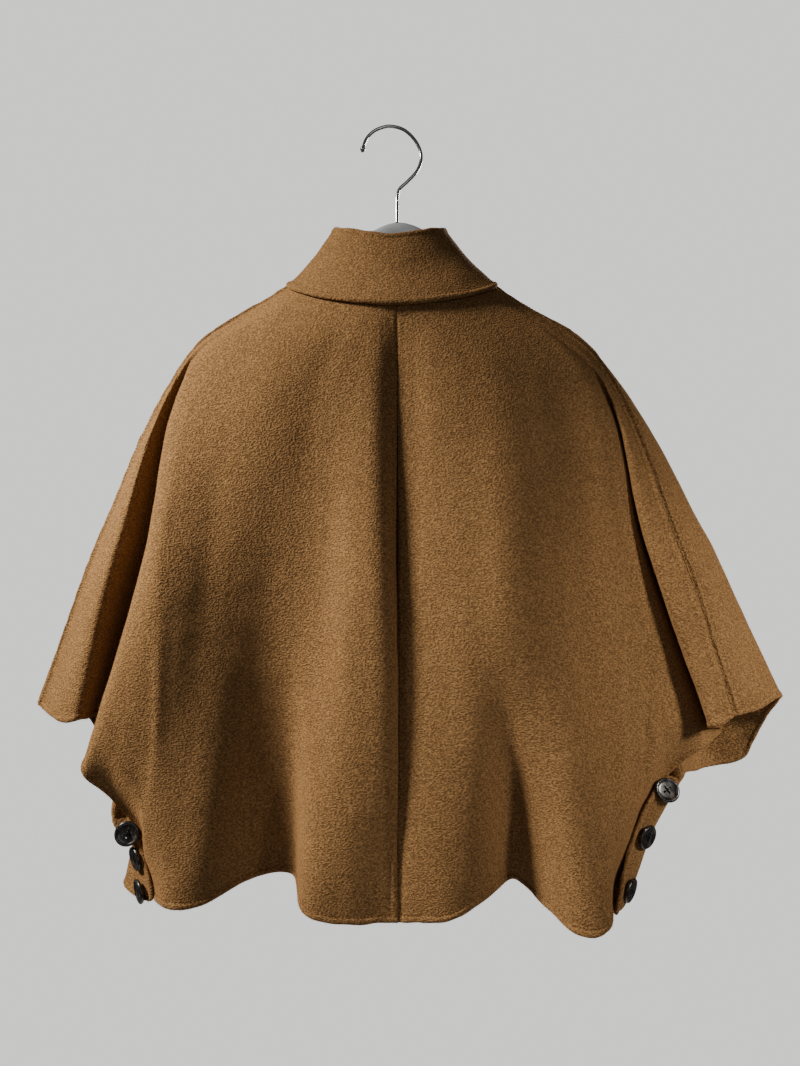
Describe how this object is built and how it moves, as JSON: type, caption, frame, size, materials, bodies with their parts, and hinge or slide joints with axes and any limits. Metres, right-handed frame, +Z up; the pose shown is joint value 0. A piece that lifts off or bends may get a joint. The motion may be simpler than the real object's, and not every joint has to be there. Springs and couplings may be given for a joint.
{
  "type": "cape on a coat hanger",
  "caption": "Short camel wool cape with a funnel collar and buttoned sides, hanging by its shoulders on a plain grey coat hanger.",
  "frame": {"origin": "inside top of the hanger's hook, where it rests on a hook or rail", "axes": "+Z up; the cape's back faces -Y and its fronts face +Y; +X is the wearer's right"},
  "size_m": [0.7979, 0.2187, 0.823],
  "materials": {
    "camel_wool": "short-napped double-faced wool cloth",
    "dark_horn": "polished horn with a raised rim",
    "grey_plastic": "moulded, slightly translucent",
    "chromed_wire": "bright wire"
  },
  "bodies": {
    "root": {"back_left": "camel_wool", "back_right": "camel_wool", "front_left": "camel_wool", "front_right": "camel_wool", "collar": "camel_wool", "button_left_1": "dark_horn", "button_left_2": "dark_horn", "button_left_3": "dark_horn", "button_right_1": "dark_horn", "button_right_2": "dark_horn", "button_right_3": "dark_horn", "hanger_body": "grey_plastic", "hanger_hook": "chromed_wire"}
  },
  "joints": []
}
